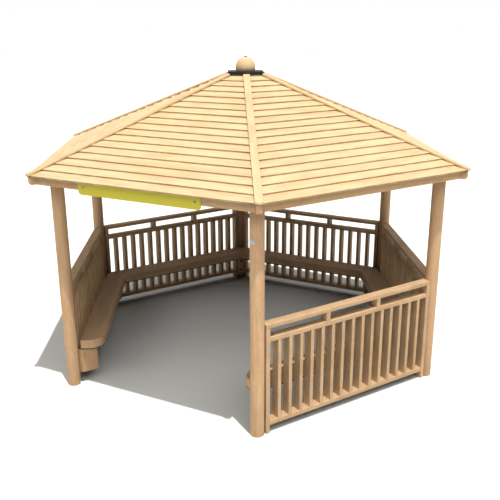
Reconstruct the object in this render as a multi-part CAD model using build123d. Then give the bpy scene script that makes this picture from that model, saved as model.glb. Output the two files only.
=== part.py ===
"""Hexagonal open timber gazebo with a boarded roof, slatted railings and a bench round the inside.

Millimetres, +Z up. The origin is on the ground at the centre of the plan, and the open side, the
entrance, faces -Y. Every piece is drawn once, either facing +X (a side) or standing on +X (a corner),
and is then turned about Z to its bearing.
"""
import os
from math import acos, asin, atan, ceil, cos, degrees, radians, sin, tan

from build123d import *

# Plan
post_circle_radius = 2000.0
corner_step = 60.0
entrance_bearing = -90.0

# Posts
post_diameter = 120.0

# Roof faces: lapped boards on a hexagonal pyramid
roof_pitch = 23.3
eaves_overhang = 226.0
eaves_clearance = 2008.0
eaves_depth = 87.0
board_exposure = 108.0
board_butt = 12.0
board_head = 5.0
roof_joint_gap = 0.5

# Hip rafters and eaves fascias
rafter_width = 45.0
rafter_setback = 14.0
rafter_nose_radius = 20.0
fascia_setback = 52.0
fascia_thickness = 40.0
fascia_joint_gap = 0.3

# Boards that cover the hips
hip_cover_width = 65.0
hip_cover_thickness = 12.0
hip_cover_overhang = 14.0
hip_cover_end_gap = 1.0

# Apex: hub, cap and ball
hub_width = 170.0
hub_drop = 20.0
cap_corner_radius = 204.0
cap_rim = 28.0
cap_plate_thickness = 20.0
cap_corner_round = 12.0
cap_edge_bevel = 6.0
cap_clearance = 0.3
ball_diameter = 198.0
ball_centre_rise = 35.0
ball_chords = 7
ball_bolt_diameter = 42.0
ball_bolt_rise = 6.0

# Slatted railing panels
panel_depth = 91.0
panel_end_gap = 0.3
stile_width = 41.0
top_rail_height = 1013.0
top_rail_thickness = 36.0
rail_gap = 83.0
second_rail_thickness = 40.0
bottom_rail_clearance = 73.0
bottom_rail_thickness = 42.0
slat_gap = 81.0
slat_thickness = 33.0
slat_depth = 89.0
spacer_width = 41.0
spacer_place_share = 0.322

# Bench and the blocks that carry it
bench_height = 446.0
bench_thickness = 96.0
bench_post_gap = 20.0
bench_width = 218.0
bench_nose_flat = 86.0
bench_mitre_gap = 2.0
bench_end_setback = 18.0
bench_end_front_share = 0.62
bench_end_back_share = 0.05
block_width = 88.0
block_length = 180.0
block_height = 235.0
block_seat_gap = 0.2
block_panel_gap = 1.0
bolt_hole_diameter = 30.0
bolt_hole_depth = 40.0
bolt_hole_rise = 52.0
bolt_hole_spacing = 119.0

# Sign plate on the entrance fascia
sign_width = 1206.0
sign_head_gap = 5.4
sign_thickness = 6.0
sign_drop = 36.0
sign_corner_radius = 30.0
sign_seat_gap = 0.2

# Worked out from the sizes above
half_step = corner_step / 2
side_reach = post_circle_radius * cos(radians(half_step))
half_side = post_circle_radius * sin(radians(half_step))
pitch_rise = tan(radians(roof_pitch))
hip_rise = pitch_rise * cos(radians(half_step))
hip_slope = degrees(atan(hip_rise))
roof_thickness = board_butt + board_head
eaves_reach = side_reach + eaves_overhang
eaves_corner_reach = eaves_reach / cos(radians(half_step))
eaves_height = eaves_clearance + eaves_depth
apex_height = eaves_height + eaves_reach * pitch_rise
underside_apex_height = apex_height - roof_thickness / cos(radians(roof_pitch))
rafter_reach = eaves_corner_reach - rafter_setback
rafter_root_reach = hub_width / 2
rafter_heel_reach = post_circle_radius + post_diameter / 2
fascia_face_reach = eaves_reach - fascia_setback
cap_reach = cap_corner_radius * cos(radians(half_step))
cap_skirt_height = apex_height - cap_reach * pitch_rise
cap_seat_height = apex_height - (cap_reach - cap_rim) * pitch_rise
cap_top_height = cap_seat_height + cap_plate_thickness
bench_nose_radius = (bench_thickness - bench_nose_flat) / 2
bench_foot_height = bench_height - bench_thickness
far = 2 * eaves_corner_reach
tall = 2 * apex_height

CORNERS = {
    "front_left": entrance_bearing - half_step,
    "front_right": entrance_bearing + half_step,
    "right": entrance_bearing + half_step + corner_step,
    "back_right": entrance_bearing + half_step + 2 * corner_step,
    "back_left": entrance_bearing - half_step - 2 * corner_step,
    "left": entrance_bearing - half_step - corner_step,
}
SIDES = {
    "front": entrance_bearing,
    "front_right": entrance_bearing + corner_step,
    "back_right": entrance_bearing + 2 * corner_step,
    "back": entrance_bearing + 3 * corner_step,
    "back_left": entrance_bearing - 2 * corner_step,
    "front_left": entrance_bearing - corner_step,
}
RAILED_SIDES = [name for name in SIDES if name != "front"]


def turned(shape, bearing):
    """Turn a piece drawn on +X to its bearing."""
    return Rot(0, 0, bearing) * shape


def upright(points, width):
    """A plate of the given width across Y, from an outline in X and Z."""
    outline = make_face(Polyline(*points, close=True))
    return extrude(Plane.XZ * outline, amount=width / 2, both=True)


def block_of(x_range, y_range, z_range):
    """A squared timber between two places along each axis."""
    size = [high - low for low, high in (x_range, y_range, z_range)]
    corner = [low for low, high in (x_range, y_range, z_range)]
    return Pos(*corner) * Box(*size, align=(Align.MIN, Align.MIN, Align.MIN))


def sector(inset):
    """The space between the two corner planes of a side that faces +X, drawn in by the inset."""
    point = inset / sin(radians(half_step))
    flare = (far - point) * tan(radians(half_step))
    outline = make_face(Polyline((point, 0), (far, flare), (far, -flare), close=True))
    return extrude(outline, amount=tall)


def below_underside(shape, bearing):
    """Cut a piece to the underside of the roof face at a bearing."""
    tilt = radians(roof_pitch)
    normal = (sin(tilt) * cos(radians(bearing)), sin(tilt) * sin(radians(bearing)), cos(tilt))
    plane = Plane(origin=(0, 0, underside_apex_height), z_dir=normal)
    return split(shape, bisect_by=plane, keep=Keep.BOTTOM)


def below_cap(shape):
    """Cut a piece level at the seat of the apex cap."""
    level = Plane(origin=(0, 0, cap_seat_height), z_dir=(0, 0, 1))
    return split(shape, bisect_by=level, keep=Keep.BOTTOM)


def rafter_foot_height(reach):
    """Height of a hip rafter's lower edge at a distance from the centre, inside the post's outer face."""
    return eaves_clearance + (rafter_heel_reach - reach) * hip_rise


def make_post():
    """A round post, cut at the top to the slope of the hip rafter that it carries."""
    shaft = Pos(post_circle_radius, 0) * extrude(Circle(post_diameter / 2), amount=tall)
    slope = radians(hip_slope)
    seat = Plane(
        origin=(post_circle_radius, 0, rafter_foot_height(post_circle_radius)),
        z_dir=(sin(slope), 0, cos(slope)),
    )
    return split(shaft, bisect_by=seat, keep=Keep.BOTTOM)


def make_hip_rafter():
    """A rafter on edge along a hip: top backed to both roof faces, tail level below and its nose rounded."""
    foot = (rafter_reach, eaves_clearance)
    outline = make_face(Polyline(
        foot,
        (rafter_reach, tall),
        (rafter_root_reach, tall),
        (rafter_root_reach, rafter_foot_height(rafter_root_reach)),
        (rafter_heel_reach, eaves_clearance),
        close=True,
    ))
    nose = outline.vertices().sort_by_distance((*foot, 0))[0]
    outline = fillet(nose, rafter_nose_radius)
    rafter = extrude(Plane.XZ * outline, amount=rafter_width / 2, both=True)
    for bearing in (-half_step, half_step):
        rafter = below_underside(rafter, bearing)
    return below_cap(rafter)


def make_fascia():
    """An eaves board between two rafters, its top bevelled to the roof."""
    board = block_of(
        (fascia_face_reach - fascia_thickness, fascia_face_reach),
        (-far / 2, far / 2),
        (eaves_clearance, tall),
    )
    board = below_underside(board, 0)
    return board & sector(rafter_width / 2 + fascia_joint_gap)


def roof_point(along, above):
    """Place in X and Z: along the slope from the eaves, and above the line of the board edges."""
    tilt = radians(roof_pitch)
    return (
        eaves_reach - along * cos(tilt) + above * sin(tilt),
        eaves_height + along * sin(tilt) + above * cos(tilt),
    )


def make_roof_face():
    """One boarded face: each course laps the one below, and the head is cut level under the cap."""
    slope_length = eaves_reach / cos(radians(roof_pitch))
    courses = ceil(slope_length / board_exposure)
    points = [roof_point(0, -roof_thickness)]
    for course in range(courses):
        points.append(roof_point(course * board_exposure, 0))
        points.append(roof_point((course + 1) * board_exposure, -board_butt))
    points.append(roof_point(courses * board_exposure, -roof_thickness))
    return below_cap(upright(points, far) & sector(roof_joint_gap / 2))


def make_hip_cover():
    """A board laid on the hip, cut in line with both eaves and a little past the corner of the boards."""
    head = cap_corner_radius + hip_cover_end_gap
    tip = eaves_corner_reach + hip_cover_overhang
    lift = hip_cover_thickness / cos(radians(hip_slope))

    def hip_height(reach):
        return apex_height - reach * hip_rise

    cover = upright(
        [
            (head, hip_height(head)),
            (far, hip_height(far)),
            (far, hip_height(far) + lift),
            (head, hip_height(head) + lift),
        ],
        hip_cover_width,
    )
    for bearing in (-half_step, half_step):
        turn = radians(bearing)
        eaves = Plane(
            origin=(tip, 0, 0),
            z_dir=(cos(turn), sin(turn), 0),
        )
        cover = split(cover, bisect_by=eaves, keep=Keep.BOTTOM)
    return cover


def make_hub():
    """The block under the apex that the six rafters butt against."""
    hexagon = RegularPolygon(hub_width / 2, 6, major_radius=False, rotation=half_step)
    low = rafter_foot_height(rafter_root_reach) - hub_drop
    hub = Pos(0, 0, low) * extrude(hexagon, amount=cap_seat_height - low)
    for bearing in SIDES.values():
        hub = below_underside(hub, bearing)
    return hub


def make_cap():
    """A lid over the cut head of the roof: a flat plate with a skirt that follows the slope inside."""
    hexagon = RegularPolygon(cap_corner_radius, 6)
    hexagon = fillet(hexagon.vertices(), cap_corner_round)
    lid = Pos(0, 0, cap_skirt_height) * extrude(hexagon, amount=cap_top_height - cap_skirt_height)
    lid = chamfer(lid.edges().group_by(Axis.Z)[-1], cap_edge_bevel)
    gap = cap_clearance / sin(radians(roof_pitch))

    def room(height):
        reach = (apex_height - height) / pitch_rise + gap
        return Pos(0, 0, height) * RegularPolygon(reach, 6, major_radius=False)

    head = loft([room(cap_skirt_height), room(cap_seat_height)])
    return lid - head


def make_ball():
    """A turned ball, its curve drawn in short chords, with a flat seat on the cap and a bolt head on top."""
    radius = ball_diameter / 2
    bolt_radius = ball_bolt_diameter / 2
    bolt_top = radius + ball_bolt_rise
    low = -asin(ball_centre_rise / radius)
    high = acos(bolt_radius / radius)
    outline = [(0, -ball_centre_rise)]
    for chord in range(ball_chords + 1):
        climb = low + (high - low) * chord / ball_chords
        outline.append((radius * cos(climb), radius * sin(climb)))
    outline += [(bolt_radius, bolt_top), (0, bolt_top)]
    ball = revolve(Plane.XZ * make_face(Polyline(*outline, close=True)), Axis.Z)
    return Pos(0, 0, cap_top_height + ball_centre_rise) * ball


def make_railing():
    """A slatted panel between two posts: stiles to the ground, three rails, spacers and slats."""
    half_length = half_side - post_diameter / 2 - panel_end_gap
    opening = half_length - stile_width
    slat_count = round((2 * opening - slat_gap) / (slat_thickness + slat_gap))
    slat_pitch = (2 * opening + slat_thickness) / (slat_count + 1)
    spacer_place = spacer_place_share * opening
    depth = (side_reach - panel_depth / 2, side_reach + panel_depth / 2)
    slat_range = (side_reach - slat_depth / 2, side_reach + slat_depth / 2)
    top_rail_foot = top_rail_height - top_rail_thickness
    second_rail_height = top_rail_foot - rail_gap
    second_rail_foot = second_rail_height - second_rail_thickness
    bottom_rail_top = bottom_rail_clearance + bottom_rail_thickness
    panel = block_of(depth, (-half_length, half_length), (top_rail_foot, top_rail_height))
    for low, high in ((second_rail_foot, second_rail_height), (bottom_rail_clearance, bottom_rail_top)):
        panel += block_of(depth, (-opening, opening), (low, high))
    for side in (-1, 1):
        ends = sorted((side * opening, side * half_length))
        panel += block_of(depth, ends, (0, top_rail_foot))
        spacer = (side * spacer_place - spacer_width / 2, side * spacer_place + spacer_width / 2)
        panel += block_of(depth, spacer, (second_rail_height, top_rail_foot))
    for slat in range(slat_count):
        place = (slat - (slat_count - 1) / 2) * slat_pitch
        width = (place - slat_thickness / 2, place + slat_thickness / 2)
        panel += block_of(slat_range, width, (bottom_rail_top, second_rail_foot))
    return panel


def make_bench(free_end):
    """A thick seat along a railed side: mitred to its neighbours, or rounded at a free end."""
    back = side_reach - post_diameter / 2 - bench_post_gap
    front = back - bench_width
    tip = half_side - bench_end_setback
    ends = (-post_circle_radius, post_circle_radius)
    if free_end:
        ends = sorted((free_end * tip, -free_end * post_circle_radius))
    corners = [(front, ends[0]), (back, ends[0]), (back, ends[1]), (front, ends[1])]
    outline = make_face(Polyline(*corners, close=True))
    if free_end:
        for edge, share in ((front, bench_end_front_share), (back, bench_end_back_share)):
            corner = outline.vertices().sort_by_distance((edge, free_end * tip, 0))[0]
            outline = fillet(corner, share * bench_width)
    seat = Pos(0, 0, bench_foot_height) * extrude(outline, amount=bench_thickness)
    keeper = sector(bench_mitre_gap / 2)
    if free_end:
        keeper += block_of((0, far), sorted((0, free_end * far)), (0, tall))
    level_edges = seat.edges().filter_by(Plane.XY)
    nose = [edge for edge in level_edges if is_nose(edge, front, tip, free_end)]
    return fillet(nose, bench_nose_radius) & keeper


def is_nose(edge, front, tip, free_end):
    """Whether an edge of the seat is on its front or round its free end."""
    middle = edge.center(CenterOf.BOUNDING_BOX)
    on_front = abs(middle.X - front) < bench_nose_radius
    round_end = middle.Y * free_end > tip - bench_width
    return on_front or round_end


def make_bench_block():
    """A block bolted to a post, bevelled to pass the railings, with two counterbored bolt holes."""
    outer = post_circle_radius - post_diameter / 2 - block_seat_gap
    inner = outer - block_length
    foot = bench_foot_height - block_height
    block = block_of(
        (inner, outer),
        (-block_width / 2, block_width / 2),
        (foot, bench_foot_height),
    )
    panel_face = side_reach - panel_depth / 2 - block_panel_gap
    for bearing in (-half_step, half_step):
        normal = (cos(radians(bearing)), sin(radians(bearing)), 0)
        origin = (panel_face * normal[0], panel_face * normal[1], 0)
        block = split(block, bisect_by=Plane(origin=origin, z_dir=normal), keep=Keep.BOTTOM)
    for step in range(2):
        height = foot + bolt_hole_rise + step * bolt_hole_spacing
        hole = Plane(origin=(inner, 0, height), z_dir=(1, 0, 0)) * Circle(bolt_hole_diameter / 2)
        block -= extrude(hole, amount=bolt_hole_depth)
    return block


def make_sign():
    """A bare plate on the entrance fascia, its lower corners rounded."""
    back = fascia_face_reach + sign_seat_gap
    foot = eaves_clearance - sign_drop
    head = underside_apex_height - (back + sign_thickness) * pitch_rise - sign_head_gap
    plate = Rectangle(sign_width, head - foot)
    plate = fillet(plate.vertices().group_by(Axis.Y)[0], sign_corner_radius)
    face = Plane(
        origin=(back, 0, (foot + head) / 2),
        x_dir=(0, 1, 0),
        z_dir=(1, 0, 0),
    )
    return extrude(face * plate, amount=sign_thickness)


def build():
    """All the nodes, by name."""
    nodes = {}
    post, rafter, cover = make_post(), make_hip_rafter(), make_hip_cover()
    for name, bearing in CORNERS.items():
        nodes[f"post_{name}"] = turned(post, bearing)
        nodes[f"hip_rafter_{name}"] = turned(rafter, bearing)
        nodes[f"hip_cover_{name}"] = turned(cover, bearing)
    roof_face, fascia = make_roof_face(), make_fascia()
    for name, bearing in SIDES.items():
        nodes[f"roof_{name}"] = turned(roof_face, bearing)
        nodes[f"fascia_{name}"] = turned(fascia, bearing)
    railing = make_railing()
    free_ends = {"front_right": -1, "front_left": 1}
    for name in RAILED_SIDES:
        nodes[f"railing_{name}"] = turned(railing, SIDES[name])
        nodes[f"bench_{name}"] = turned(make_bench(free_ends.get(name, 0)), SIDES[name])
    block = make_bench_block()
    nodes["bench_blocks"] = Compound(children=[turned(block, bearing) for bearing in CORNERS.values()])
    nodes["apex_hub"] = make_hub()
    nodes["apex_cap"] = make_cap()
    nodes["finial_ball"] = make_ball()
    nodes["sign_plate"] = turned(make_sign(), entrance_bearing)
    return nodes


os.makedirs("parts", exist_ok=True)
for node, shape in build().items():
    export_step(shape, f"parts/{node}.step")
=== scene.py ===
# %% [markdown]
# # A hexagonal garden gazebo
#
# The gazebo is an open timber shelter: six round posts, a boarded pyramid roof, slatted railings on
# five sides and a thick bench round the inside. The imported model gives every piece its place, so this
# lesson only dresses those pieces: sawn edges are eased, boards are laid one by one, and the timber
# gets its grain. All lengths are in metres.

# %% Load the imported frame
from math import cos, radians, sin, tan

import bpy
import numpy as np
from mathutils import Matrix, Vector


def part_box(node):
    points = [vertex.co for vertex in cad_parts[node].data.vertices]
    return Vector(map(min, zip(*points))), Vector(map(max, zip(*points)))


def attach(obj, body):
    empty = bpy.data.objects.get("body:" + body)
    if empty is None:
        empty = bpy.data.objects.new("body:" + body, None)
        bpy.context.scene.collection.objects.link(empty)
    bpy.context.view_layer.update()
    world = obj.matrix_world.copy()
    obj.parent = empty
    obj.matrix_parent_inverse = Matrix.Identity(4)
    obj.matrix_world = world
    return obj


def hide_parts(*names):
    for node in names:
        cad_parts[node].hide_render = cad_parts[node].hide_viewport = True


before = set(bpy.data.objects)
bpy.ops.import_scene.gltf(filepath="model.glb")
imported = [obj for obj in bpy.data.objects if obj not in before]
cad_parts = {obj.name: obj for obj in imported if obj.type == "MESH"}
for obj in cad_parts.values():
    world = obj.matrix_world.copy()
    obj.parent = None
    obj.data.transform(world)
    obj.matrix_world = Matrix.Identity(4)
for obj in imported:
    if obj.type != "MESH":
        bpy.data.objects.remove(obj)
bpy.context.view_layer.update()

# %% [markdown]
# ## Measures read from the frame
#
# A carpenter would hold a rule to the frame before cutting anything. Here the boxes of a few nodes give
# the main sizes, and only what a box can't tell, such as the pitch of the roof or the lap of a board,
# is written down as a number.

# %% Measure the frame
CORNERS = {
    "front_left": -120, "front_right": -60, "right": 0,
    "back_right": 60, "back_left": 120, "left": 180,
}
SIDES = {
    "front": -90, "front_right": -30, "back_right": 30,
    "back": 90, "back_left": 150, "front_left": -150,
}
RAILED = [name for name in SIDES if name != "front"]
HALF_STEP = radians(30)


def box_of(node):
    """The lowest and highest corner of a node as two arrays."""
    return np.array(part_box(node)[0]), np.array(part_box(node)[1])


post_low, post_high = box_of("post_right")
post_radius = (post_high[0] - post_low[0]) / 2
post_reach = (post_high[0] + post_low[0]) / 2
side_reach = post_reach * cos(HALF_STEP)
half_side = post_reach * sin(HALF_STEP)

roof_pitch = radians(23.3)
board_butt, board_head = 0.012, 0.005
roof_low = box_of("roof_front")[0]
eaves_reach = -roof_low[1]
eaves_height = roof_low[2] + (board_butt + board_head) * cos(roof_pitch)
apex_height = eaves_height + eaves_reach * tan(roof_pitch)
underside_apex_height = apex_height - (board_butt + board_head) / cos(roof_pitch)
hip_rise = tan(roof_pitch) * cos(HALF_STEP)
eaves_corner_reach = eaves_reach / cos(HALF_STEP)
print("posts", round(post_reach, 3), "eaves", round(eaves_reach, 3), "apex", round(apex_height, 3))

# %% [markdown]
# ## Camera
#
# The camera was solved from the hexagon of the posts, so it has the same place, lens and framing as the
# photograph. The lens shift only says that the picture was cropped a little off its optical axis.

# %% Set the camera
camera_place = (3.3909, -6.4812, 3.3744)
camera_right = np.array((0.8911, 0.45381, -0.00229))
camera_forward = np.array((-0.43218, 0.84706, -0.30938))
camera_lens = 51.233
camera_shift = (-0.0070, 0.0030)

camera_up = np.cross(camera_right, camera_forward)
camera_data = bpy.data.cameras.new("camera")
camera_data.lens = camera_lens
camera_data.shift_x, camera_data.shift_y = camera_shift
camera = bpy.data.objects.new("camera", camera_data)
bpy.context.scene.collection.objects.link(camera)
turn = np.eye(4)
turn[:3, 0], turn[:3, 1], turn[:3, 2], turn[:3, 3] = camera_right, camera_up, -camera_forward, camera_place
camera.matrix_world = Matrix(turn.tolist())
bpy.context.scene.camera = camera
bpy.context.scene.view_settings.view_transform = "Standard"
print("camera at", camera_place)

# %% [markdown]
# ## Floor and light
#
# The shelter stands on a plain white floor under a high sun, which throws the roof's shadow close round
# the posts. The sky that lights the timber is dark near the horizon, where trees and houses would stand,
# brightest half way up and dim overhead, and it is brighter in front of the entrance. So the inside stays
# dim, and the faces of the roof differ in tone. The camera sees the sky and the floor as plain white.

# %% Light the stage
sky_band, sky_zenith = 0.95, 0.15
sky_clear = (sin(radians(25)), sin(radians(44)))
sky_bearing, sky_bias = radians(-64), 0.66
sun_light = 2.4
sun_towards = (0.24, -0.165, 1.05)
sun_angle = radians(0.7)
floor_half = 60.0
floor_white, floor_bounce = 1.2, 0.62
floor_tint = (1.0, 0.985, 0.93)
light_bounces = 1


def new_node(tree, kind, **settings):
    """Add a node and set its properties."""
    node = tree.nodes.new(kind)
    for name, value in settings.items():
        setattr(node, name, value)
    return node


def new_material(name):
    """A new material. Returns it with its node tree and its Principled shader."""
    material = bpy.data.materials.new(name)
    material.use_nodes = True
    return material, material.node_tree, material.node_tree.nodes["Principled BSDF"]


def feed(tree, socket, value):
    """Link a socket to another socket, or set it to a value."""
    if isinstance(value, bpy.types.NodeSocket):
        tree.links.new(value, socket)
    else:
        socket.default_value = value


def maths(tree, operation, *values):
    """A Math node on sockets or numbers. Returns its output."""
    node = new_node(tree, "ShaderNodeMath", operation=operation)
    for socket, value in zip(node.inputs, values):
        feed(tree, socket, value)
    return node.outputs[0]


def seen_ray(tree):
    """A socket that is 1 for rays from the camera, straight or by way of gloss and glass."""
    path = new_node(tree, "ShaderNodeLightPath").outputs
    seen = maths(tree, "MAXIMUM", path["Is Camera Ray"], path["Is Glossy Ray"])
    return maths(tree, "MAXIMUM", seen, path["Is Transmission Ray"])


def ranged(tree, value, to_low, to_high, from_low=0.0, from_high=1.0):
    """A smooth Map Range node. The value and the levels are sockets or numbers. Returns its output."""
    node = new_node(tree, "ShaderNodeMapRange", interpolation_type="SMOOTHSTEP")
    for name, given in (("Value", value), ("From Min", from_low), ("From Max", from_high),
                        ("To Min", to_low), ("To Max", to_high)):
        feed(tree, node.inputs[name], given)
    return node.outputs[0]


def sky_level(tree):
    """Sky level by direction: a band over the horizon, times (1 + bias * (direction . bearing)) ** 2."""
    direction = new_node(tree, "ShaderNodeTexCoord").outputs["Generated"]
    height = new_node(tree, "ShaderNodeSeparateXYZ")
    tree.links.new(direction, height.inputs[0])
    low, middle = sky_clear
    level = ranged(tree, height.outputs["Z"], 0.0, sky_band, low, middle)
    fade = ranged(tree, height.outputs["Z"], 1.0, sky_zenith / sky_band, middle, 1.0)
    level = maths(tree, "MULTIPLY", level, fade)
    bright = new_node(tree, "ShaderNodeVectorMath", operation="DOT_PRODUCT")
    bright.inputs[1].default_value = Vector((cos(sky_bearing), sin(sky_bearing), 0)) * sky_bias
    tree.links.new(direction, bright.inputs[0])
    lobe = maths(tree, "POWER", maths(tree, "ADD", bright.outputs["Value"], 1.0), 2.0)
    return maths(tree, "MULTIPLY", level, lobe)


world = bpy.data.worlds.new("sky")
world.use_nodes = True
sky_tree = world.node_tree
background = sky_tree.nodes["Background"]
background.inputs["Color"].default_value = (1, 1, 1, 1)
sky_strength = ranged(sky_tree, seen_ray(sky_tree), sky_level(sky_tree), 1.0)
sky_tree.links.new(sky_strength, background.inputs["Strength"])
bpy.context.scene.world = world
bpy.context.scene.cycles.diffuse_bounces = light_bounces

sun_data = bpy.data.lights.new("sun", "SUN")
sun_data.energy = sun_light
sun_data.angle = sun_angle
sun = bpy.data.objects.new("sun", sun_data)
sun.rotation_mode = "QUATERNION"
sun.rotation_quaternion = Vector(sun_towards).to_track_quat("Z", "Y")
bpy.context.scene.collection.objects.link(sun)

floor_mesh = bpy.data.meshes.new("floor")
floor_corners = np.array([(-1, -1, 0), (1, -1, 0), (1, 1, 0), (-1, 1, 0)]) * floor_half
floor_mesh.from_pydata(floor_corners.tolist(), [], [(0, 1, 2, 3)])
floor_material, floor_tree, floor_shader = new_material("floor_white")
floor_level = ranged(floor_tree, seen_ray(floor_tree), floor_bounce, floor_white)
floor_colour = new_node(floor_tree, "ShaderNodeVectorMath", operation="SCALE")
floor_colour.inputs[0].default_value = floor_tint
floor_tree.links.new(floor_level, floor_colour.inputs["Scale"])
floor_tree.links.new(floor_colour.outputs[0], floor_shader.inputs["Base Color"])
floor_shader.inputs["Roughness"].default_value = 1.0
floor_shader.inputs["Specular IOR Level"].default_value = 0.0
floor_mesh.materials.append(floor_material)
floor = bpy.data.objects.new("floor", floor_mesh)
bpy.context.scene.collection.objects.link(floor)
print("sun towards", sun_towards)

# %% [markdown]
# ## Carrying a section along a line
#
# Nearly every piece of the shelter is a length of timber: one section carried along a straight line.
# The section is an outline of points, and each ring along the line may be drawn in a little, which
# eases the ends as sandpaper does. A turned ball or a screw head is the same idea, with a round section
# that is drawn in ring by ring. One function therefore makes them all, as whole arrays.

# %% Sections and rings
chance = np.random.default_rng(7)
# Steps of an eased end, as shares of its ease: how far along the line, and how far drawn in.
END_EASE = np.array([(0, 0.8), (0.25, 0.3), (1, 0)])


def eased(corners, radius, steps=3):
    """A convex outline whose corners are arcs. Returns its points and which of its edges are round."""
    corners = np.array(corners, float)
    edge = np.roll(corners, -1, 0) - corners
    edge /= np.linalg.norm(edge, axis=1)[:, None]
    before = np.roll(edge, 1, 0)
    turn = np.arctan2(before[:, 0] * edge[:, 1] - before[:, 1] * edge[:, 0], (before * edge).sum(1))
    radius = np.broadcast_to(radius, len(corners))[:, None]
    inward = np.stack([-before[:, 1], before[:, 0]], 1)
    middle = corners - before * radius * np.tan(turn / 2)[:, None] + inward * radius
    angle = np.arctan2(-inward[:, 1], -inward[:, 0])[:, None] + turn[:, None] * np.linspace(0, 1, steps + 1)
    outline = middle[:, None] + radius[:, None] * np.stack([np.cos(angle), np.sin(angle)], -1)
    return outline.reshape(-1, 2), np.tile(np.arange(steps + 1) < steps, len(corners))


def sawn(width, depth, radius):
    """The section of a sawn timber: a rectangle with eased arrises."""
    w, d = width / 2, depth / 2
    return eased([(-w, -d), (w, -d), (w, d), (-w, d)], radius)


def round_section(radius, count=48):
    """A circle of points. Every edge of it is round."""
    angle = np.arange(count) * 2 * np.pi / count
    return np.stack([np.cos(angle), np.sin(angle)], 1) * radius, np.ones(count, bool)


def drawn_in(outline, inset):
    """The outline moved inwards: each point goes along the middle of its two edges' normals."""
    before = outline - np.roll(outline, 1, 0)
    after = np.roll(before, -1, 0)
    normals = [
        np.stack([-edge[:, 1], edge[:, 0]], 1) / np.linalg.norm(edge, axis=1)[:, None]
        for edge in (before, after)
    ]
    middle = normals[0] + normals[1]
    middle /= np.linalg.norm(middle, axis=1)[:, None]
    stretch = 1 / np.clip((middle * normals[0]).sum(1), 0.5, 1)
    return outline + middle * stretch[:, None] * inset


def carried(section, insets, places):
    """Rings of a section: ring i is drawn in by insets[i] and stands at places[i].

    A place is one value for the whole ring or one for each point.
    """
    outline, is_round = section
    rings = np.stack([drawn_in(outline, inset) for inset in insets])
    count = len(outline)
    along = np.stack([np.broadcast_to(place, count) for place in places])
    points = np.dstack([rings, along]).reshape(-1, 3)
    ring, column = np.meshgrid(np.arange(len(insets) - 1), np.arange(count), indexing="ij")
    start = ring * count + column
    beside = ring * count + (column + 1) % count
    quads = np.stack([start, beside, beside + count, start + count], -1).reshape(-1, 4)
    ends = [np.arange(count)[::-1], np.arange(count) + (len(insets) - 1) * count]
    smooth = np.broadcast_to(is_round, ring.shape).reshape(-1)
    arris = np.tile((is_round | np.roll(is_round, 1)) & ~is_round.all(), len(insets))
    return {"points": points, "quads": quads, "ends": ends, "smooth": smooth, "arris": arris.astype(float)}


def timber(section, low, high, ease, spans=1):
    """A section carried from low to high along its line, with eased ends and the line cut into spans."""
    steps = END_EASE * ease
    count = len(section[0])
    low, high = np.broadcast_to(low, count), np.broadcast_to(high, count)
    between = [low + (high - low) * k / spans for k in range(1, spans)]
    places = [low + s for s in steps[:, 0]] + between + [high - s for s in steps[::-1, 0]]
    insets = np.concatenate([steps[:, 1], np.zeros(len(between)), steps[::-1, 1]])
    return carried(section, insets, places)


print("helpers for sections are ready")

# %% [markdown]
# ## Placing pieces and joining them
#
# A length of timber is made in its own three directions and is then set into the frame. Before it is
# turned, it notes where it was in the log: along the grain, across it and through it, with a chance
# offset, so that no two boards show the same grain. The notes travel with the mesh as attributes, which
# the timber finish reads.

# %% Place and join
LOG_LENGTH = 40
# Where the three directions of a part point, on the side of the plan that faces +X.
UPRIGHT = [(1, 0, 0), (0, 1, 0), (0, 0, 1)]
LEVEL = [(1, 0, 0), (0, 0, 1), (0, -1, 0)]
OUTWARD = [(0, 1, 0), (0, 0, 1), (1, 0, 0)]
INWARD = [(0, 0, 1), (0, 1, 0), (-1, 0, 0)]
NOTES = (("grain", "FLOAT_VECTOR", "vector"), ("tone", "FLOAT", "value"), ("arris", "FLOAT", "value"))


def placed(part, origin, axes, grain=(2, 0, 1), pith=0.06):
    """Set a part into the frame. The rows of axes are where its own three directions point."""
    count = len(part["points"])
    along = chance.uniform(0, LOG_LENGTH)
    offset = np.array([along, chance.uniform(-pith, pith), chance.uniform(pith / 2, pith)])
    part["grain"] = part["points"][:, grain] + offset
    part["tone"] = np.full(count, chance.uniform(-1, 1))
    part["points"] = part["points"] @ np.array(axes, float) + np.array(origin, float)
    return part


def turned(part, bearing):
    """Turn a placed part about the middle of the plan."""
    angle = radians(bearing)
    spin = np.array([(cos(angle), sin(angle), 0), (-sin(angle), cos(angle), 0), (0, 0, 1)])
    part["points"] = part["points"] @ spin
    return part


def joined(name, parts, material, nodes=()):
    """One mesh from many parts, riding on the frame and standing for the nodes it dresses."""
    first = np.cumsum([0] + [len(part["points"]) for part in parts[:-1]])
    faces = []
    for base, part in zip(first, parts):
        faces += (part["quads"] + base).tolist() + [(end + base).tolist() for end in part["ends"]]
    smooth = np.concatenate([np.append(part["smooth"], [False] * len(part["ends"])) for part in parts])
    mesh = bpy.data.meshes.new(name)
    mesh.from_pydata(np.concatenate([part["points"] for part in parts]).tolist(), [], faces)
    mesh.polygons.foreach_set("use_smooth", smooth)
    for note, kind, field in NOTES:
        values = np.concatenate([part[note] for part in parts]).astype(np.float32)
        mesh.attributes.new(note, kind, "POINT").data.foreach_set(field, values.ravel())
    mesh.materials.append(material)
    piece = bpy.data.objects.new(name, mesh)
    bpy.context.scene.collection.objects.link(piece)
    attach(piece, "root")
    if nodes:
        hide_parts(*nodes)
    return piece


print("helpers for placing are ready")

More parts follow.
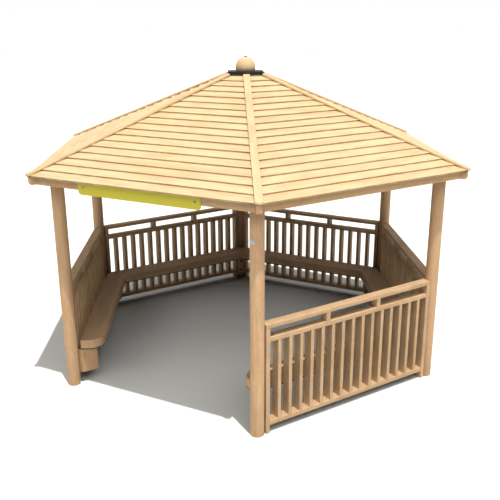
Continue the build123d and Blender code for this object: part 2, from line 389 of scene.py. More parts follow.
# %% [markdown]
# ## The figure of the timber
#
# All the wood is a pale softwood. Its figure has three layers: yearly rings, which make long lines and
# arches where a face cuts through them, fine fibres along the grain, and broad warm patches. The rings
# are worked out as in a real log, from the distance to the pith, bent a little by noise, so a board and
# a round post get the right pattern from one node group.

# %% Node group for timber
# A Mix node repeats its sockets for each kind of data. These are the ones for colours.
MIX_INPUTS, MIX_RESULT = (0, 6, 7), 2
bend_scale, bend_size = (0.9, 4.0, 4.0), 0.045
fibre_scale, fleck_scale = (7.0, 240.0, 240.0), (20.0, 75.0, 75.0)
patch_scale, wear_and_light_scale = (2.8, 12.0, 12.0), (9.0, 25.0, 25.0)
ring_levels = ((0.0, 0.0), (0.35, 0.12), (0.85, 1.0), (1.0, 0.0))
patch_levels = ((0.38, 0.0), (0.50, 0.4), (0.62, 1.0))
wear_and_light_levels = ((0.40, 0.4), (0.50, 0.85), (0.60, 1.0))
ring_hollow = 0.4
timber_rough, fibre_rough = 0.48, 0.25


def input_value(group, name, kind, value):
    """Add an input socket with a usual value to a node group."""
    socket = group.interface.new_socket(name, in_out="INPUT", socket_type=kind)
    if value is not None:
        socket.default_value = value


def stretched_noise(tree, vector, scale, detail):
    """Noise on a vector that is scaled unevenly. Returns the noise node."""
    mapping = new_node(tree, "ShaderNodeVectorMath", operation="MULTIPLY")
    mapping.inputs[1].default_value = scale
    tree.links.new(vector, mapping.inputs[0])
    noise = new_node(tree, "ShaderNodeTexNoise")
    noise.inputs["Scale"].default_value = 1.0
    noise.inputs["Detail"].default_value = detail
    tree.links.new(mapping.outputs[0], noise.inputs["Vector"])
    return noise


def colour_mix(tree, blend, factor, first, second):
    """A colour Mix node. Sockets are linked, and colours and numbers are set. Returns the result."""
    node = new_node(tree, "ShaderNodeMix", data_type="RGBA", blend_type=blend)
    for place, value in zip(MIX_INPUTS, (factor, first, second)):
        feed(tree, node.inputs[place], value)
    return node.outputs[MIX_RESULT]


def ramp(tree, value, stops):
    """A grey colour ramp through (place, level) stops. Returns its output."""
    node = new_node(tree, "ShaderNodeValToRGB")
    for place, level in stops[1:-1]:
        node.color_ramp.elements.new(place)
    for element, (place, level) in zip(node.color_ramp.elements, stops):
        element.position = place
        element.color = (level, level, level, 1)
    tree.links.new(value, node.inputs[0])
    return node.outputs[0]


def make_timber_figure():
    """The node group: from a place in the log to colour, roughness and height."""
    group = bpy.data.node_groups.new("timber_figure", "ShaderNodeTree")
    for name, kind, value in (
        ("Grain", "NodeSocketVector", None),
        ("Tone", "NodeSocketFloat", 0.0),
        ("Arris", "NodeSocketFloat", 0.0),
        ("Pale", "NodeSocketColor", (0.9, 0.7, 0.4, 1)),
        ("Warm", "NodeSocketColor", (0.8, 0.5, 0.25, 1)),
        ("Line", "NodeSocketColor", (0.6, 0.35, 0.15, 1)),
        ("Edge", "NodeSocketColor", (0.26, 0.12, 0.045, 1)),
        ("Ring Width", "NodeSocketFloat", 0.006),
        ("Ring Strength", "NodeSocketFloat", 0.3),
        ("Fibre Strength", "NodeSocketFloat", 0.2),
        ("Tone Strength", "NodeSocketFloat", 0.08),
        ("Wear", "NodeSocketFloat", 0.1),
    ):
        input_value(group, name, kind, value)
    for name, kind in (
        ("Color", "NodeSocketColor"),
        ("Roughness", "NodeSocketFloat"),
        ("Height", "NodeSocketFloat"),
    ):
        group.interface.new_socket(name, in_out="OUTPUT", socket_type=kind)
    given = new_node(group, "NodeGroupInput").outputs
    result = new_node(group, "NodeGroupOutput").inputs

    bend = stretched_noise(group, given["Grain"], bend_scale, 1.0)
    bent = new_node(group, "ShaderNodeVectorMath", operation="MULTIPLY_ADD")
    bent.inputs[1].default_value = (0, bend_size, bend_size)
    group.links.new(bend.outputs["Color"], bent.inputs[0])
    group.links.new(given["Grain"], bent.inputs[2])
    flat = new_node(group, "ShaderNodeVectorMath", operation="MULTIPLY")
    flat.inputs[1].default_value = (0, 1, 1)
    group.links.new(bent.outputs[0], flat.inputs[0])
    from_pith = new_node(group, "ShaderNodeVectorMath", operation="LENGTH")
    group.links.new(flat.outputs[0], from_pith.inputs[0])
    year = maths(group, "FRACT", maths(group, "DIVIDE", from_pith.outputs["Value"], given["Ring Width"]))
    rings = ramp(group, year, ring_levels)

    fibres = stretched_noise(group, given["Grain"], fibre_scale, 3.0).outputs["Fac"]
    flecks = stretched_noise(group, given["Grain"], fleck_scale, 2.0).outputs["Fac"]
    patches = stretched_noise(group, given["Grain"], patch_scale, 2.0).outputs["Fac"]
    warm = ramp(group, patches, patch_levels)

    colour = colour_mix(group, "MIX", warm, given["Pale"], given["Warm"])
    lines = maths(group, "MULTIPLY", rings, given["Ring Strength"])
    colour = colour_mix(group, "MIX", lines, colour, given["Line"])
    streak = maths(group, "SUBTRACT", maths(group, "ADD", fibres, flecks), 1.0)
    streak = maths(group, "MULTIPLY", streak, given["Fibre Strength"])
    shade = maths(group, "ADD", streak, maths(group, "MULTIPLY", given["Tone"], given["Tone Strength"]))
    # Edge marks, broken up by noise: a positive arris note lightens the colour, for wear and as a painted
    # highlight on eased edges. A negative note mixes the colour towards the Edge colour: painted shade on
    # the roof boards and hip keels, the dark joints of the boards, and the dark lower band of the seats.
    wear_and_light_noise = stretched_noise(group, given["Grain"], wear_and_light_scale, 2.0).outputs["Fac"]
    wear_and_painted_light = maths(group, "MULTIPLY", ramp(group, wear_and_light_noise, wear_and_light_levels), given["Wear"])
    edge = maths(group, "MULTIPLY", given["Arris"], wear_and_painted_light)
    shade = maths(group, "ADD", shade, maths(group, "MAXIMUM", edge, 0.0))
    shade = maths(group, "ADD", shade, 1.0)
    tint = new_node(group, "ShaderNodeCombineColor")
    for channel in tint.inputs:
        group.links.new(shade, channel)
    colour = colour_mix(group, "MULTIPLY", 1.0, colour, tint.outputs[0])
    painted_shade = maths(group, "MINIMUM", maths(group, "MULTIPLY", edge, -1.0), 1.0)
    painted_shade = maths(group, "MAXIMUM", painted_shade, 0.0)
    group.links.new(colour_mix(group, "MIX", painted_shade, colour, given["Edge"]), result["Color"])
    rough = maths(group, "MULTIPLY_ADD", fibres, fibre_rough, timber_rough)
    group.links.new(rough, result["Roughness"])
    hollow = maths(group, "MULTIPLY", rings, ring_hollow)
    group.links.new(maths(group, "SUBTRACT", fibres, hollow), result["Height"])
    return group


timber_figure = make_timber_figure()
print("timber figure has", len(timber_figure.nodes), "nodes")

# %% [markdown]
# ## Timber finishes
#
# Each kind of piece has its own finish from the same figure: the roof boards are palest and have broad
# warm patches, the posts are turned and show long arches, and the sawn frame and railings are a little
# deeper in colour. A finish is only a set of values for the group.

# %% Timber finishes
timber_gloss, timber_bump = 0.3, 0.5


def add_bump(tree, shader, height, strength, distance):
    """Let a height socket raise the surface through a Bump node."""
    bump = new_node(tree, "ShaderNodeBump")
    bump.inputs["Strength"].default_value = strength
    bump.inputs["Distance"].default_value = distance
    tree.links.new(height, bump.inputs["Height"])
    tree.links.new(bump.outputs[0], shader.inputs["Normal"])


def timber_finish(name, pale, warm, line, bump=0.0006, from_notes=True, **values):
    """A material that places the timber figure with its own values."""
    material, tree, shader = new_material(name)
    shader.inputs["Specular IOR Level"].default_value = timber_gloss
    figure = new_node(tree, "ShaderNodeGroup", node_tree=timber_figure)
    for socket, value in (("Pale", pale), ("Warm", warm), ("Line", line), *values.items()):
        value = (*value, 1) if isinstance(value, tuple) else value
        figure.inputs[socket.replace("_", " ")].default_value = value
    if from_notes:
        for note, output in (("grain", "Vector"), ("tone", "Fac"), ("arris", "Fac")):
            attribute = new_node(tree, "ShaderNodeAttribute", attribute_name=note)
            tree.links.new(attribute.outputs[output], figure.inputs[note.capitalize()])
    else:
        coordinate = new_node(tree, "ShaderNodeTexCoord")
        upright = new_node(tree, "ShaderNodeMapping")
        upright.inputs["Rotation"].default_value = (0, radians(90), 0)
        tree.links.new(coordinate.outputs["Object"], upright.inputs["Vector"])
        tree.links.new(upright.outputs[0], figure.inputs["Grain"])
    add_bump(tree, shader, figure.outputs["Height"], timber_bump, bump)
    tree.links.new(figure.outputs["Color"], shader.inputs["Base Color"])
    tree.links.new(figure.outputs["Roughness"], shader.inputs["Roughness"])
    return material


roof_timber = timber_finish(
    "roof_timber", (0.95, 0.75, 0.43), (0.91, 0.62, 0.335), (0.80, 0.50, 0.25),
    Ring_Width=0.009, Ring_Strength=0.30, Fibre_Strength=0.16, Tone_Strength=0.03, Wear=0.85,
)
post_timber = timber_finish(
    "round_post_timber", (0.95, 0.61, 0.345), (0.87, 0.54, 0.29), (0.70, 0.41, 0.21),
    Ring_Width=0.010, Ring_Strength=0.32, Fibre_Strength=0.26, Tone_Strength=0.03, Wear=0.0,
)
frame_timber = timber_finish(
    "frame_timber", (0.90, 0.58, 0.31), (0.82, 0.50, 0.26), (0.64, 0.38, 0.18),
    Ring_Width=0.007, Ring_Strength=0.28, Fibre_Strength=0.26, Tone_Strength=0.04, Wear=0.06,
)
# The railing's eased edges are lightened by the edge marks: partly wear, partly a painted highlight along
# the rounded arrises.
railing_timber = timber_finish(
    "railing_timber", (0.75, 0.505, 0.29), (0.675, 0.43, 0.235), (0.52, 0.315, 0.153),
    Ring_Width=0.007, Ring_Strength=0.26, Fibre_Strength=0.26, Tone_Strength=0.05, Wear=0.20,
)
bench_timber = timber_finish(
    "bench_timber", (0.86, 0.58, 0.35), (0.78, 0.50, 0.285), (0.60, 0.36, 0.19),
    Ring_Width=0.012, Ring_Strength=0.26, Fibre_Strength=0.26, Tone_Strength=0.04, Wear=0.9,
    Edge=(0.022, 0.018, 0.015),
)
finial_timber = timber_finish(
    "finial_timber", (0.99, 0.74, 0.42), (0.94, 0.66, 0.36), (0.78, 0.50, 0.25),
    Ring_Width=0.012, Ring_Strength=0.25, Fibre_Strength=0.20, Tone_Strength=0.0, Wear=0.0,
)
block_timber = timber_finish(
    "block_timber", (0.82, 0.52, 0.28), (0.74, 0.44, 0.22), (0.56, 0.32, 0.15), from_notes=False,
    Ring_Width=0.009, Ring_Strength=0.28, Fibre_Strength=0.26, Tone_Strength=0.0, Wear=0.0,
)
print("timber finishes:", [m.name for m in bpy.data.materials if "timber" in m.name])

# %% [markdown]
# ## Posts
#
# The posts are turned logs. Each stands at a corner of the plan and is cut on top to the slope of the
# hip rafter that it carries, so the upper ring of the round section follows that slope.

# %% Posts
foot_ease = 0.004
post_points, post_spans = 64, 4
post_section = round_section(post_radius, post_points)
post_top = post_high[2] - post_radius * hip_rise
post_head = post_top - post_section[0][:, 0] * hip_rise
for name, bearing in CORNERS.items():
    log = timber(post_section, 0.0, post_head, foot_ease, post_spans)
    log = turned(placed(log, (post_reach, 0, 0), UPRIGHT, pith=0.02), bearing)
    joined(f"turned_post_{name}", [log], post_timber, [f"post_{name}"])
print("post head at", round(float(post_top), 3))

# %% [markdown]
# ## Roof boards
#
# The roof is laid in courses. A board is thick at its lower edge and thin at its head, and a rebate
# under the lower edge sits over the head of the course below. The lower edges are darkened brown as
# painted shade, darkest beside the hips, and a strip of painted shadow lies under each lap, strongest
# beside the hips. The edges are never quite straight, so each edge wanders a millimetre or two along its
# length. Seen from the bench, the boards meet flush, with a small dark groove at every joint.

# %% Roof boards
board_exposure, board_lap, board_step = 0.108, 0.020, 0.07
board_gap, hip_gap = 0.0003, 0.00025
board_foot, board_groove = -board_butt - board_head, 0.0024
edge_drop, edge_chamfer, edge_round, edge_zone = 0.002, 0.0006, 0.003, 0.005
edge_wander, face_wander = 0.0011, 0.0007
lap_shade_width, corner_length = 0.012, 0.070
corner_least, corner_more = 0.7, 1.1
shadow_length, shadow_fade = 0.09, 0.05
shadow_least, shadow_more = 0.5, 0.85
under_cap = 0.028
cap_corner = box_of("apex_cap")[1][0]
cap_reach = cap_corner * cos(HALF_STEP)
board_stop = (eaves_reach - cap_reach + under_cap) / cos(roof_pitch)


def board_section(course):
    """Corners of a board's section: along the slope from the eaves, and above the line of the butts."""
    low = course * board_exposure
    head = min(low + board_exposure + board_lap, board_stop)
    fall = board_butt / board_exposure
    eased_edge = [(low, -edge_drop), (low + edge_chamfer, -edge_chamfer)]
    eased_edge += [(low + edge_round, -edge_round * fall)]
    face = np.array([board_exposure - lap_shade_width, board_exposure])
    face = np.append(face[low + face < head], head - low)
    top = eased_edge + [(low + reach, -reach * fall) for reach in face]
    joint = board_foot + board_groove
    head_groove = [(head, joint), (head - board_groove, board_foot)]
    if course == 0:
        return np.array([(low, board_foot), *top, *head_groove])
    shoulder = low + board_lap + board_gap
    rebate = -board_butt + board_gap
    foot_groove = [(shoulder + board_groove, board_foot), (shoulder, joint)]
    shoulder_top = (shoulder, rebate - board_lap * fall)
    return np.array([(low, rebate), *top, *head_groove, *foot_groove, shoulder_top])


def wander(places, size, waves=(0.9, 2.3, 5.1, 11.0)):
    """A smooth chance curve: a sum of sines that get shorter and weaker."""
    phase = chance.uniform(0, 2 * np.pi, len(waves))
    weight = 1 / np.sqrt(np.array(waves))
    return size * (np.sin(np.outer(places, waves) * 2 + phase) * weight).sum(1)


def roof_board(course):
    """A board from hip to hip: its section at every step along the eaves, with a wandering lower edge."""
    section = board_section(course)[::-1]
    low = course * board_exposure
    half_length = (eaves_reach - low * cos(roof_pitch)) * tan(HALF_STEP)
    count = max(int(2 * half_length / board_step), 3)
    share = np.linspace(-1, 1, count)
    edge = (section[:, 0] < low + edge_zone).astype(float)
    butt = (section[:, 0] < low + board_gap).astype(float)
    joint = np.isclose(section[:, 1], board_foot + board_groove)
    below = np.isclose(section[:, 0], (course + 1) * board_exposure)
    from_end = (1 - np.abs(share)) * half_length
    corner = corner_least + corner_more * np.clip(1 - from_end / corner_length, 0, 1)
    shadowed = shadow_least + shadow_more * np.clip((shadow_length - from_end) / shadow_fade, 0, 1)
    slide = wander(share * half_length, edge_wander)
    slide = np.outer(np.abs(slide) if course == 0 else slide, edge)
    along = section[:, 0] + slide
    lift = np.outer(wander(share * half_length, face_wander), edge)
    above = section[:, 1] + lift * (section[:, 1] > -edge_zone)
    x = eaves_reach - along * cos(roof_pitch) + above * sin(roof_pitch)
    z = eaves_height + along * sin(roof_pitch) + above * cos(roof_pitch)
    y = share[:, None] * (x * tan(HALF_STEP) - hip_gap)
    board = carried((section, np.zeros(len(section), bool)), np.zeros(count), np.arange(count))
    board["points"] = np.dstack([y, along, above]).reshape(-1, 3)
    board = placed(board, (0, 0, 0), UPRIGHT, grain=(0, 1, 2), pith=0.10)
    board["points"] = np.dstack([x, y, z]).reshape(-1, 3)
    # Painted shade: the butt of each board is darkened, most near the hips, and a strip of painted shadow
    # lies under each lap, strongest beside the hips. The joint grooves are dark.
    board["arris"] = -(np.outer(shadowed, butt) + np.outer(corner, below) + joint).reshape(-1)
    return board


course_count = int(np.ceil(board_stop / board_exposure))
for name, bearing in SIDES.items():
    boards = [turned(roof_board(course), bearing) for course in range(course_count)]
    joined(f"roof_boards_{name}", boards, roof_timber, [f"roof_{name}"])
print("courses on each face:", course_count)

# %% [markdown]
# ## Hip covers
#
# A narrow board covers the mitre between two roof faces. At the eaves it is cut to a shallow point, in
# line with both edges and a little past their corner. A keel under it closes the steps of the laps. It is
# coloured dark brown as painted shade, so the openings under the cover look shadowed.

# %% Hip covers
cover_width, cover_thickness, cover_overhang = 0.065, 0.012, 0.014
cover_ease, cover_gap = 0.003, 0.001
cover_sink, keel_side, keel_setback = 0.007, 0.012, 0.06
# Points of the sawn outline before which the keel and the middle of the top are put in.
bottom_break, top_break = 4, 12
hip_slope = np.arctan(hip_rise)
hip_down = np.array((cos(hip_slope), 0, -sin(hip_slope)))
hip_up = np.array((sin(hip_slope), 0, cos(hip_slope)))
seat_line = -cover_thickness / 2 - cover_sink
keel_foot = -cover_thickness / 2 - board_butt - cover_gap
cover_outline, cover_round = sawn(cover_width, cover_thickness + cover_sink, cover_ease)
cover_outline = cover_outline - (0, cover_sink / 2)
keel = np.array([(-keel_side, seat_line), (-keel_side, keel_foot), (0, keel_foot),
                 (keel_side, keel_foot), (keel_side, seat_line)])
keel_breaks = [bottom_break] * len(keel)
cover_section = (
    np.insert(np.insert(cover_outline, top_break, (0, cover_thickness / 2), 0), keel_breaks, keel, 0),
    np.insert(cover_round, keel_breaks + [top_break], False),
)
across, through = cover_section[0].T
in_keel = through < seat_line - cover_gap
bevel = (through + cover_thickness / 2) * tan(hip_slope)
cover_reach = (eaves_corner_reach + cover_overhang - np.abs(across) * tan(HALF_STEP)) / cos(hip_slope)
cover_reach = cover_reach - bevel - cover_gap - keel_setback * in_keel
cover_head = (cap_corner + cover_gap) / cos(hip_slope) - bevel
for name, bearing in CORNERS.items():
    cover = timber(cover_section, cover_head, cover_reach, cover_ease, spans=12)
    origin = np.array((0, 0, apex_height)) + hip_up * cover_thickness / 2
    cover = placed(cover, origin, [(0, 1, 0), hip_up, hip_down])
    # The keel is mixed to the dark Edge colour: painted shade in the gaps under the cover.
    cover["arris"] = np.tile(-1.0 * in_keel, len(cover["points"]) // len(through))
    cover = turned(cover, bearing)
    joined(f"hip_board_{name}", [cover], roof_timber, [f"hip_cover_{name}"])
print("hip covers reach", round(float(cover_reach.max() * cos(hip_slope)), 3))

# %% [markdown]
# ## Hip rafters and fascias
#
# A rafter stands on edge under each hip. Past the post its tail is level below, and its nose shows at the
# eaves with a rounded lower corner. Its outline is drawn in the plane of the hip and carried across its
# width, and the top is planed down to the undersides of both roof faces. The fascias are boards between
# the noses, bevelled to the roof.

# %% Hip rafters
rafter_width, rafter_ease = 0.045, 0.003
rafter_nose, heel_round, corner_round = 0.020, 0.010, 0.002
rafter_low, rafter_high = box_of("hip_rafter_right")
rafter_root, rafter_tip = rafter_low[0], rafter_high[0]
rafter_heel = post_reach + post_radius
rafter_foot = rafter_low[2]
cap_seat = rafter_high[2]


def side_underside(reach):
    """Height of the roof's underside on the middle line of a side."""
    return underside_apex_height - reach * tan(roof_pitch)


def underside(reach, aside):
    """Height of the roof's underside at a distance along a hip and aside from it."""
    return side_underside(reach * cos(HALF_STEP) + np.abs(aside) * sin(HALF_STEP))


rafter_outline = eased(
    [
        (rafter_root, rafter_foot + (rafter_heel - rafter_root) * hip_rise),
        (rafter_heel, rafter_foot),
        (rafter_tip, rafter_foot),
        (rafter_tip, underside(rafter_tip, 0)),
        ((underside_apex_height - cap_seat) / hip_rise, cap_seat),
        (rafter_root, cap_seat),
    ],
    [corner_round, heel_round, rafter_nose, corner_round, corner_round, corner_round], steps=8,
)
half_width = rafter_width / 2
for name, bearing in CORNERS.items():
    rafter = timber(rafter_outline, -half_width, half_width, rafter_ease, spans=2)
    reach, height, aside = rafter["points"].T
    rafter["points"][:, 1] = np.minimum(height, underside(reach, aside) - board_gap)
    rafter = turned(placed(rafter, (0, 0, 0), LEVEL, grain=(0, 1, 2)), bearing)
    joined(f"rafter_{name}", [rafter], frame_timber, [f"hip_rafter_{name}"])
print("rafter nose at", round(float(rafter_tip), 3))

# %% [markdown]
# A fascia, a roof board and a mitred bench all end on the planes of the two hips. A section in the plane
# of the side is carried between those planes, so each point of it has its own length.

# %% Fascias
fascia_thickness, fascia_ease = 0.040, 0.003
fascia_end_ease, fascia_spans = 0.001, 16
fascia_gap = half_width + board_gap
fascia_low = box_of("fascia_front")[0]
fascia_face, fascia_foot = -fascia_low[1], fascia_low[2]


def between_hips(section, clearance, ease, spans):
    """A section of reach and height, carried along a side and cut on the planes of its two hips."""
    reach = section[0][:, 0]
    half = reach * tan(HALF_STEP) - clearance / cos(HALF_STEP)
    return timber(section, -half, half, ease, spans)


fascia_inner = fascia_face - fascia_thickness
fascia_section = eased(
    [
        (fascia_inner, fascia_foot),
        (fascia_face, fascia_foot),
        (fascia_face, side_underside(fascia_face) - board_gap),
        (fascia_inner, side_underside(fascia_inner) - board_gap),
    ],
    fascia_ease,
)
for name, bearing in SIDES.items():
    fascia = between_hips(fascia_section, fascia_gap, fascia_end_ease, fascia_spans)
    fascia = turned(placed(fascia, (0, 0, 0), LEVEL), bearing)
    joined(f"eaves_board_{name}", [fascia], frame_timber, [f"fascia_{name}"])
print("fascia face at", round(float(fascia_face), 3))

# %% [markdown]
# ## Railings
#
# A railing is a small ladder of planed timbers: two stiles down to the ground, a top rail over them, two
# rails between them, two spacers that hold the top rails apart, and a row of slats. Each timber is made
# by itself with eased edges, and one panel is joined into one mesh.

# %% Railings
panel_low, panel_high = box_of("railing_back")
panel_depth = panel_high[1] - panel_low[1]
panel_half = panel_high[0]
stile_width = 0.041
opening = panel_half - stile_width
top_rail, rail_gap, second_rail, bottom_rail = 0.036, 0.083, 0.040, 0.042
top_rail_foot = panel_high[2] - top_rail
second_rail_top = top_rail_foot - rail_gap
second_rail_foot = second_rail_top - second_rail
bottom_rail_foot = 0.073
bottom_rail_top = bottom_rail_foot + bottom_rail
slat_thickness, slat_depth, slat_gap = 0.033, 0.089, 0.081
slat_count = round((2 * opening - slat_gap) / (slat_thickness + slat_gap))
slat_pitch = (2 * opening + slat_thickness) / (slat_count + 1)
spacer_width, spacer_share = 0.041, 0.322
spacer_place = spacer_share * opening
rail_ease, rail_spans = 0.004, 8
upright_ease, upright_spans = 0.0012, 6


def level_timber(depth, low, high, half):
    """A rail along the side, between two heights and from end to end."""
    part = timber(sawn(depth, high - low, rail_ease), -half, half, rail_ease, rail_spans)
    return placed(part, (side_reach, 0, (low + high) / 2), LEVEL)


def standing_timber(depth, width, place, low, high):
    """A stile, spacer or slat that stands at a place along the side."""
    section = sawn(depth, width, min(rail_ease, width / 6))
    part = timber(section, low, high, upright_ease, upright_spans)
    return placed(part, (side_reach, place, 0), UPRIGHT)


def railing_parts():
    """All the timbers of one panel."""
    parts = [
        level_timber(panel_depth, top_rail_foot, panel_high[2], panel_half),
        level_timber(panel_depth, second_rail_foot, second_rail_top, opening),
        level_timber(panel_depth, bottom_rail_foot, bottom_rail_top, opening),
    ]
    stile_place = (panel_half + opening) / 2
    for side in (-1, 1):
        parts += [
            standing_timber(panel_depth, stile_width, side * stile_place, 0, top_rail_foot),
            standing_timber(panel_depth, spacer_width, side * spacer_place, second_rail_top, top_rail_foot),
        ]
    for place in (np.arange(slat_count) - (slat_count - 1) / 2) * slat_pitch:
        parts.append(standing_timber(slat_depth, slat_thickness, place, bottom_rail_top, second_rail_foot))
    return parts


for name in RAILED:
    panel = [turned(part, SIDES[name]) for part in railing_parts()]
    joined(f"slatted_panel_{name}", panel, railing_timber, [f"railing_{name}"])
print("slats in each panel:", slat_count)

# %% [markdown]
# ## Bench
#
# The seats are thick planks with eased edges along the front and a wide round at the free end. At each
# height the plan is drawn in by what the round of the edge leaves, while the back and the mitres stay
# where they are. The lowest centimetre of the plank is coloured nearly black, so two rings lie close
# together where that dark band ends.

# %% Bench seats
seat_low, seat_high = box_of("bench_back")
seat_top, seat_foot = seat_high[2], seat_low[2]
seat_back, seat_front = seat_high[1], seat_low[1]
seat_width = seat_back - seat_front
nose_flat = 0.086
nose_radius = (seat_top - seat_foot - nose_flat) / 2
mitre_open, end_clearance = 0.002, 0.018
mitre_gap = mitre_open / 2 / cos(HALF_STEP)
seat_tip = half_side - end_clearance
front_share, back_share = 0.62, 0.05
end_front, end_back = front_share * seat_width, back_share * seat_width
arc_step, seat_rings = 0.02, 16
dark_band, band_edge, band_darkness = 0.010, 0.0002, 3.0


def mitre(reach):
    """Half the length of a mitred seat at a reach from the centre."""
    return reach * tan(HALF_STEP) - mitre_gap


def seat_plan(inset, free_end, steps=14):
    """The seat's plan with its nose drawn in: counter-clockwise from the front of the first mitre."""
    front = seat_front + inset
    if not free_end:
        plan = [(front, -mitre(front)), (seat_back, -mitre(seat_back))]
        plan += [(seat_back, mitre(seat_back)), (front, mitre(front))]
        return np.array(plan)
    climb = np.linspace(0, np.pi / 2, steps)
    fade = np.sin(climb)
    round_back = np.stack([
        seat_back - end_back + (end_back - inset * fade) * np.cos(climb),
        seat_tip - end_back + (end_back - inset * fade) * np.sin(climb),
    ], 1)
    round_front = np.stack([
        seat_front + end_front - (end_front - inset) * np.sin(climb),
        seat_tip - end_front + (end_front - inset) * np.cos(climb),
    ], 1)
    mitred = [(front, -mitre(front)), (seat_back, -mitre(seat_back))]
    plan = np.concatenate([mitred, round_back, round_front])
    return plan if free_end > 0 else (plan * (1, -1))[::-1]


def seat(free_end):
    """A seat as rings from its underside to its top, each with the plan that the nose leaves."""
    angle = np.linspace(-np.pi / 2, np.pi / 2, seat_rings)
    insets = nose_radius * (1 - np.cos(angle))
    heights = (seat_top + seat_foot) / 2 + nose_radius * np.sin(angle) + np.sign(angle) * nose_flat / 2
    band_top = seat_foot + dark_band
    heights = np.insert(heights, seat_rings // 2, band_top + np.array((0, band_edge)))
    insets = np.insert(insets, seat_rings // 2, (0, 0))
    plans = np.stack([seat_plan(inset, free_end) for inset in insets])
    is_arc = np.linalg.norm(np.roll(plans[0], -1, 0) - plans[0], axis=1) < arc_step
    part = carried((plans[0], is_arc), np.zeros(len(heights)), heights)
    part["points"][:, :2] = plans.reshape(-1, 2)
    # The lowest band of the seat is mixed nearly to black.
    part["arris"] = -band_darkness * np.repeat(heights < band_top + band_edge / 2, len(is_arc))
    return placed(part, (0, 0, 0), UPRIGHT, grain=(1, 0, 2), pith=0.05)


free_ends = {"front_right": -1, "front_left": 1}
for name in RAILED:
    plank = turned(seat(free_ends.get(name, 0)), SIDES[name])
    joined(f"seat_{name}", [plank], bench_timber, [f"bench_{name}"])
print("seat from", round(float(seat_foot), 3), "to", round(float(seat_top), 3))

# %% [markdown]
# ## Blocks, plugs and hub
#
# The blocks under the seats and the hub under the apex already have their true shape in the frame, so
# they only get their finish. A near-black plug sits in each counterbored hole over its bolt, as painted
# shade for the depth of the hole.

# %% Blocks, plugs and hub
plain_bump, rough_span = 0.3, 0.2


def plain_finish(name, colour, roughness, metallic=0.0, mottle=0.15, scale=60.0, bump=0.0003, gloss=0.5):
    """A material with a soft mottle in its colour and roughness, on Object coordinates."""
    material, tree, shader = new_material(name)
    shader.inputs["Metallic"].default_value = metallic
    shader.inputs["Specular IOR Level"].default_value = gloss
    coordinate = new_node(tree, "ShaderNodeTexCoord")
    noise = stretched_noise(tree, coordinate.outputs["Object"], (scale, scale, scale), 4.0).outputs["Fac"]
    dark = tuple(channel * (1 - mottle) for channel in colour)
    tree.links.new(colour_mix(tree, "MIX", noise, (*dark, 1), (*colour, 1)), shader.inputs["Base Color"])
    rough = maths(tree, "MULTIPLY_ADD", noise, rough_span, roughness - rough_span / 2)
    tree.links.new(rough, shader.inputs["Roughness"])
    add_bump(tree, shader, noise, plain_bump, bump)
    return material


def wear_finish(node, material):
    """Give a node of the frame its finish."""
    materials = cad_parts[node].data.materials
    materials.clear()
    materials.append(material)


# The plugs are near black: painted shade for the depth of each counterbored hole.
plug_painted_shade = plain_finish("plug_painted_shade", (0.012, 0.012, 0.013), 0.6, mottle=0.3, scale=200.0)
wear_finish("bench_blocks", block_timber)
wear_finish("apex_hub", block_timber)
block_length, block_gap, hole_depth = 0.180, 0.0002, 0.040
hole_rises = np.array((0.052, 0.171))
block_foot = box_of("bench_blocks")[0][2]
block_inner = post_reach - post_radius - block_gap - block_length
plug_seat, plug_radius = 0.010, 0.0148
plug_profile = np.array([
    (0, plug_seat - hole_depth), (0, 0), (0.001, 0.0015), (0.004, 0.003), (0.010, 0.004),
])


def button(radius, profile, origin, axes, count=24):
    """A round head: a circle drawn in and raised step by step."""
    part = carried(round_section(radius, count), profile[:, 0], profile[:, 1])
    return placed(part, origin, axes)


plugs = []
for bearing in CORNERS.values():
    for height in block_foot + hole_rises:
        origin = (block_inner + plug_seat, 0, height)
        plugs.append(turned(button(plug_radius, plug_profile, origin, INWARD), bearing))
joined("bolt_plugs", plugs, plug_painted_shade)
print("bolt plugs:", len(plugs))

# %% [markdown]
# ## Apex
#
# A black moulded cap closes the head of the roof, and a turned ball stands on it, held by a rod whose
# dome nut shows on top.

# %% Apex
cap_finish = plain_finish("cap_rubber", (0.010, 0.012, 0.017), 0.48, mottle=0.3, scale=90.0, gloss=0.25)
wear_finish("apex_cap", cap_finish)
bolt_steel = plain_finish("bolt_steel", (0.10, 0.10, 0.10), 0.5, metallic=0.8)
ball_low, ball_high = box_of("finial_ball")
ball_radius, nut_radius, nut_rise = 0.099, 0.021, 0.006
ball_points, ball_rings = 64, 33
ball_centre = ball_high[2] - ball_radius - nut_rise
climb = np.linspace(-np.arcsin((ball_centre - ball_low[2]) / ball_radius), np.pi / 2, ball_rings)[:-1]
ball_profile = np.stack([ball_radius * (1 - np.cos(climb)), ball_radius * np.sin(climb)], 1)
ball = carried(round_section(ball_radius, ball_points), ball_profile[:, 0], ball_profile[:, 1])
ball = placed(ball, (0, 0, ball_centre), UPRIGHT, pith=0.02)
joined("turned_ball", [ball], finial_timber, ["finial_ball"])
nut_seat = np.sqrt(ball_radius**2 - nut_radius**2)
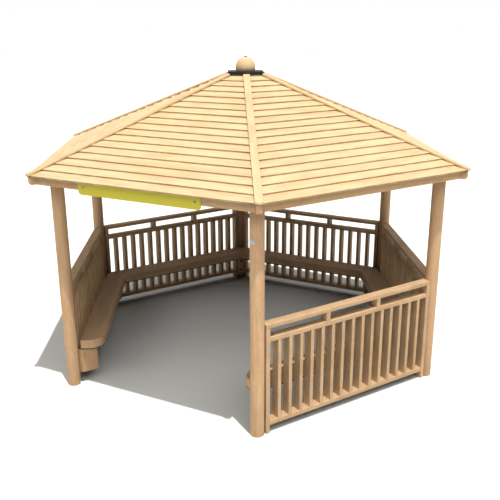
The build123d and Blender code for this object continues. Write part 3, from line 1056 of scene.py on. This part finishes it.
nut_top = ball_radius + nut_rise - nut_seat
nut_profile = np.array([
    (0, -0.002), (0, 0.3), (0.0015, 0.55), (0.006, 0.86), (0.012, 0.98), (0.018, 1.0),
]) * (1, nut_top)
nut = button(nut_radius, nut_profile, (0, 0, ball_centre + nut_seat), UPRIGHT)
joined("ball_nut", [nut], bolt_steel)
print("ball top at", round(float(ball_high[2]), 3))

# %% [markdown]
# ## Plate, screws and post cover
#
# The coloured plate on the entrance is bare. Two screws hold it, and a small grey cover sits on the
# front post, over the end of a bolt.

# %% Plate, screws and cover
sign_finish = plain_finish("sign_board", (0.96, 0.85, 0.072), 0.55, mottle=0.06, scale=25.0)
screw_steel = plain_finish("screw_steel", (0.20, 0.19, 0.20), 0.45, metallic=0.4, scale=200.0)
cover_plastic = plain_finish("cover_plastic", (0.78, 0.78, 0.76), 0.5, mottle=0.08, scale=120.0)
wear_finish("sign_plate", sign_finish)
sign_face = -box_of("sign_plate")[0][1]
screw_height, screw_aside, screw_radius = 2.036, 0.55, 0.009
screw_profile = np.array([(0, -0.001), (0, 0.0012), (0.0015, 0.0022), (0.004, 0.003)])
screws = [
    turned(button(screw_radius, screw_profile, (sign_face, aside, screw_height), OUTWARD), SIDES["front"])
    for aside in (-screw_aside, screw_aside)
]
joined("sign_screws", screws, screw_steel)
disc_height, disc_bearing = 1.737, radians(-100)
disc_radius, disc_points = 0.027, 32
post_bearing = radians(CORNERS["front_right"])
disc_profile = np.array([(0.001, -0.008), (0, 0.004), (0.0012, 0.0068), (0.004, 0.008), (0.014, 0.0095)])
disc_out = np.array((cos(disc_bearing), sin(disc_bearing), 0))
post_axis = post_reach * np.array((cos(post_bearing), sin(post_bearing), 0))
disc_origin = post_axis + disc_out * post_radius + np.array((0, 0, disc_height))
disc_axes = [np.cross((0, 0, 1), disc_out), (0, 0, 1), disc_out]
disc = button(disc_radius, disc_profile, disc_origin, disc_axes, disc_points)
joined("post_cover", [disc], cover_plastic)
print("plate face at", round(float(sign_face), 3))
